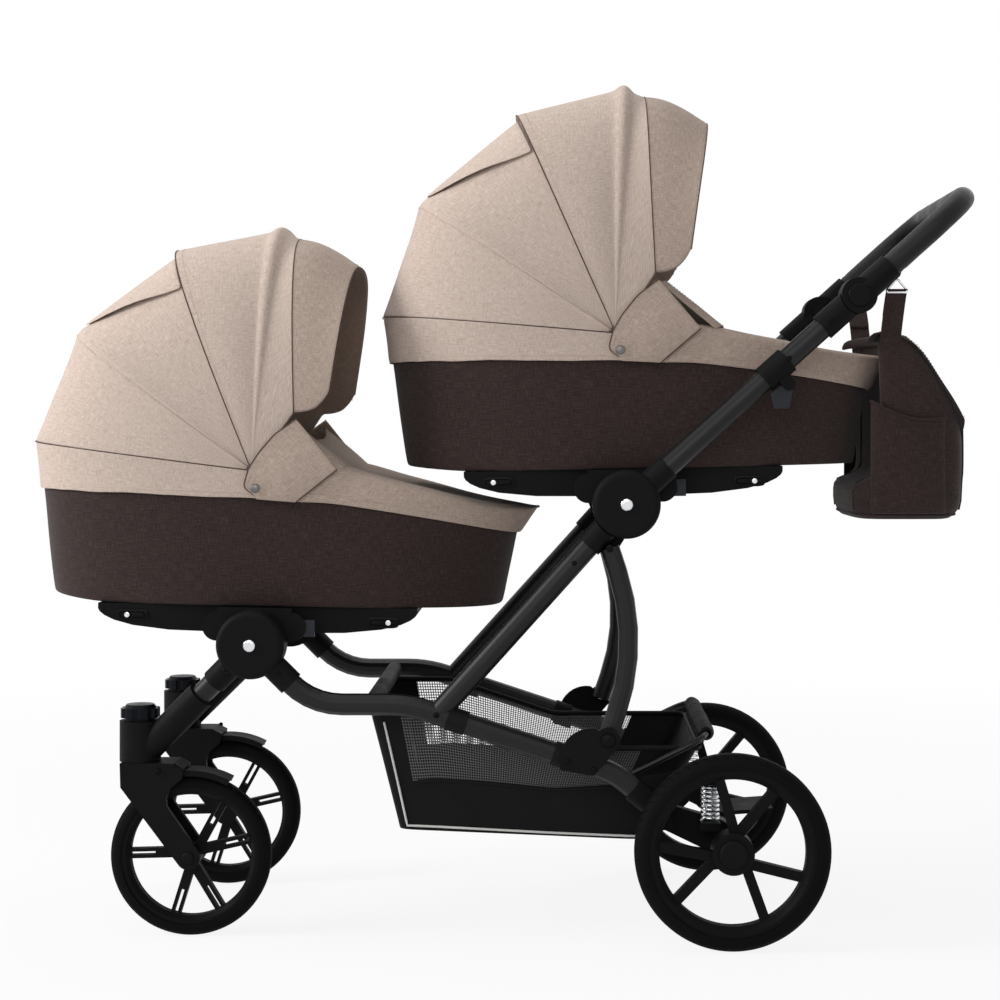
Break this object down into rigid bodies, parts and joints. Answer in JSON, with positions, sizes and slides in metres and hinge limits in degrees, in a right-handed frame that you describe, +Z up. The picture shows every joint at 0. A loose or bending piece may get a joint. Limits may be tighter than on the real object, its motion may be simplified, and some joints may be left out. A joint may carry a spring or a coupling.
{
  "type": "tandem twin pram",
  "caption": "Tandem twin pram: tube chassis with folding handle, sprung rear wheels and swivel front wheels, hooded carrycots in line, shopping basket and handle bag.",
  "frame": {"origin": "floor under the middle of the overall box", "axes": "+X from the front wheels back to the handle, +Y from the left side to the right side, +Z up"},
  "size_m": [1.4639, 0.611, 1.3011],
  "materials": {
    "frame_tube": "satin black coat",
    "frame_plastic": "fine moulded grain",
    "foam_grip": "smooth dark leatherette",
    "bright_steel": "polished",
    "lever_plastic": "smooth",
    "tyre": "matt",
    "beige_fabric": "melange weave",
    "brown_fabric": "melange weave",
    "mesh_fabric": "open mesh and coated cloth",
    "lining_fabric": "plain cotton"
  },
  "bodies": {
    "chassis": {"main_tubes": "frame_tube", "seat_posts": "frame_tube", "rear_legs": "frame_tube", "leg_plates": "frame_plastic", "front_hubs": "frame_plastic", "rear_hubs": "frame_plastic", "front_legs": "frame_tube", "swivel_housings": "frame_plastic", "front_crossbar": "foam_grip", "basket": "mesh_fabric", "basket_rail": "frame_plastic", "rear_brackets": "frame_plastic", "frame_bolts": "bright_steel"},
    "handle": {"handle_tubes": "frame_tube", "handle_hubs": "frame_plastic", "handle_fittings": "frame_plastic"},
    "triggers": {"fold_triggers": "lever_plastic"},
    "grip": {"grip_bar": "bright_steel", "grip_cover": "foam_grip", "tilt_arms": "frame_plastic"},
    "button_left": {"tilt_button_left": "frame_plastic"},
    "button_right": {"tilt_button_right": "frame_plastic"},
    "bag": {"bag": "brown_fabric", "bag_straps": "brown_fabric"},
    "axle": {"swing_arms": "frame_plastic", "rear_axle": "bright_steel", "suspension_springs": "bright_steel"},
    "pedal": {"brake_pedal": "frame_plastic"},
    "fork_left": {"fork_left": "frame_plastic"},
    "front_wheel_left": {"front_tyre_left": "tyre", "front_rim_left": "frame_plastic"},
    "rear_wheel_left": {"rear_tyre_left": "tyre", "rear_rim_left": "frame_plastic"},
    "lock_left": {"swivel_lock_left": "lever_plastic"},
    "fork_right": {"fork_right": "frame_plastic"},
    "front_wheel_right": {"front_tyre_right": "tyre", "front_rim_right": "frame_plastic"},
    "rear_wheel_right": {"rear_tyre_right": "tyre", "rear_rim_right": "frame_plastic"},
    "lock_right": {"swivel_lock_right": "lever_plastic"},
    "front_cot": {"front_tub": "brown_fabric", "front_base": "frame_plastic", "front_brackets": "frame_plastic", "front_mattress": "lining_fabric", "front_apron": "beige_fabric", "front_hood_shell": "beige_fabric"},
    "front_hood": {"front_hood_front": "beige_fabric", "front_hood_bow": "beige_fabric"},
    "front_tabs": {"front_release_tabs": "lever_plastic"},
    "rear_cot": {"rear_tub": "brown_fabric", "rear_base": "frame_plastic", "rear_brackets_cot": "frame_plastic", "rear_mattress": "lining_fabric", "rear_apron": "beige_fabric", "rear_hood_shell": "beige_fabric"},
    "rear_hood": {"rear_hood_front": "beige_fabric", "rear_hood_bow": "beige_fabric"},
    "rear_tabs": {"rear_release_tabs": "lever_plastic"}
  },
  "joints": [
    {"name": "front_swivel_left", "type": "hinge", "parent": "chassis", "child": "fork_left", "pos_m": [-0.531, -0.1775, 0.29], "axis": [0, 0, 1], "continuous": true},
    {"name": "front_spin_left", "type": "hinge", "parent": "fork_left", "child": "front_wheel_left", "pos_m": [-0.453, -0.1775, 0.1215], "axis": [0, 1, 0], "continuous": true},
    {"name": "swivel_lock_left", "type": "hinge", "parent": "chassis", "child": "lock_left", "pos_m": [-0.531, -0.1775, 0.335], "axis": [0, 0, 1], "range_deg": [0, 90]},
    {"name": "rear_spin_left", "type": "hinge", "parent": "axle", "child": "rear_wheel_left", "pos_m": [0.361, -0.2775, 0.145], "axis": [0, 1, 0], "continuous": true},
    {"name": "front_swivel_right", "type": "hinge", "parent": "chassis", "child": "fork_right", "pos_m": [-0.531, 0.1775, 0.29], "axis": [0, 0, 1], "continuous": true},
    {"name": "front_spin_right", "type": "hinge", "parent": "fork_right", "child": "front_wheel_right", "pos_m": [-0.453, 0.1775, 0.1215], "axis": [0, 1, 0], "continuous": true},
    {"name": "swivel_lock_right", "type": "hinge", "parent": "chassis", "child": "lock_right", "pos_m": [-0.531, 0.1775, 0.335], "axis": [0, 0, 1], "range_deg": [0, 90]},
    {"name": "rear_spin_right", "type": "hinge", "parent": "axle", "child": "rear_wheel_right", "pos_m": [0.361, 0.2775, 0.145], "axis": [0, 1, 0], "continuous": true},
    {"name": "tilt_button_left", "type": "slide", "parent": "grip", "child": "button_left", "axis": [0, 1, 0], "range_m": [0, 0.003], "stiffness_N_per_m": 500},
    {"name": "tilt_button_right", "type": "slide", "parent": "grip", "child": "button_right", "axis": [0, -1, 0], "range_m": [0, 0.003], "stiffness_N_per_m": 500},
    {"name": "rear_suspension", "type": "hinge", "parent": "chassis", "child": "axle", "pos_m": [0.255, 0, 0.188], "axis": [0, -1, 0], "range_deg": [0, 4], "stiffness_Nm_per_rad": 240, "springref_deg": -7.45, "deforming": ["suspension_springs"]},
    {"name": "brake_pedal", "type": "hinge", "parent": "axle", "child": "pedal", "pos_m": [0.361, 0, 0.145], "axis": [0, 1, 0], "range_deg": [0, 22]},
    {"name": "handle_fold", "type": "hinge", "parent": "chassis", "child": "handle", "pos_m": [0.206, 0, 0.655], "axis": [0, -1, 0], "range_deg": [0, 85]},
    {"name": "bag_set_down", "type": "slide", "parent": "chassis", "child": "bag", "axis": [0.3714, 0, -0.9285], "range_m": [0, 0.6732]},
    {"name": "fold_trigger", "type": "hinge", "parent": "handle", "child": "triggers", "pos_m": [0.44835, 0, 0.83419], "axis": [0, -1, 0], "range_deg": [0, 20], "stiffness_Nm_per_rad": 0.8},
    {"name": "handle_tilt", "type": "hinge", "parent": "handle", "child": "grip", "pos_m": [0.55231, 0, 0.96681], "axis": [0, 1, 0], "range_deg": [-60, 40]},
    {"name": "front_cot_lift", "type": "slide", "parent": "chassis", "child": "front_cot", "axis": [-0.0192, 0, -0.9998], "range_m": [-0.008, 0]},
    {"name": "front_hood_fold", "type": "hinge", "parent": "front_cot", "child": "front_hood", "pos_m": [-0.35905, 0, 0.70414], "axis": [0, -1, 0], "range_deg": [0, 70]},
    {"name": "front_release", "type": "slide", "parent": "front_cot", "child": "front_tabs", "axis": [-0.9998, 0, 0.0192], "range_m": [0, 0.004], "stiffness_N_per_m": 400},
    {"name": "rear_cot_lift", "type": "slide", "parent": "chassis", "child": "rear_cot", "axis": [0.0192, 0, -0.9998], "range_m": [-0.15, 0]},
    {"name": "rear_hood_fold", "type": "hinge", "parent": "rear_cot", "child": "rear_hood", "pos_m": [0.19105, 0, 0.91276], "axis": [0, -1, 0], "range_deg": [0, 70]},
    {"name": "rear_release", "type": "slide", "parent": "rear_cot", "child": "rear_tabs", "axis": [-0.9998, 0, -0.0192], "range_m": [0, 0.004], "stiffness_N_per_m": 400}
  ],
  "couplings": [
    {"joint": "bag_set_down", "follows": "handle_fold", "m_per_rad": 0.45365}
  ]
}
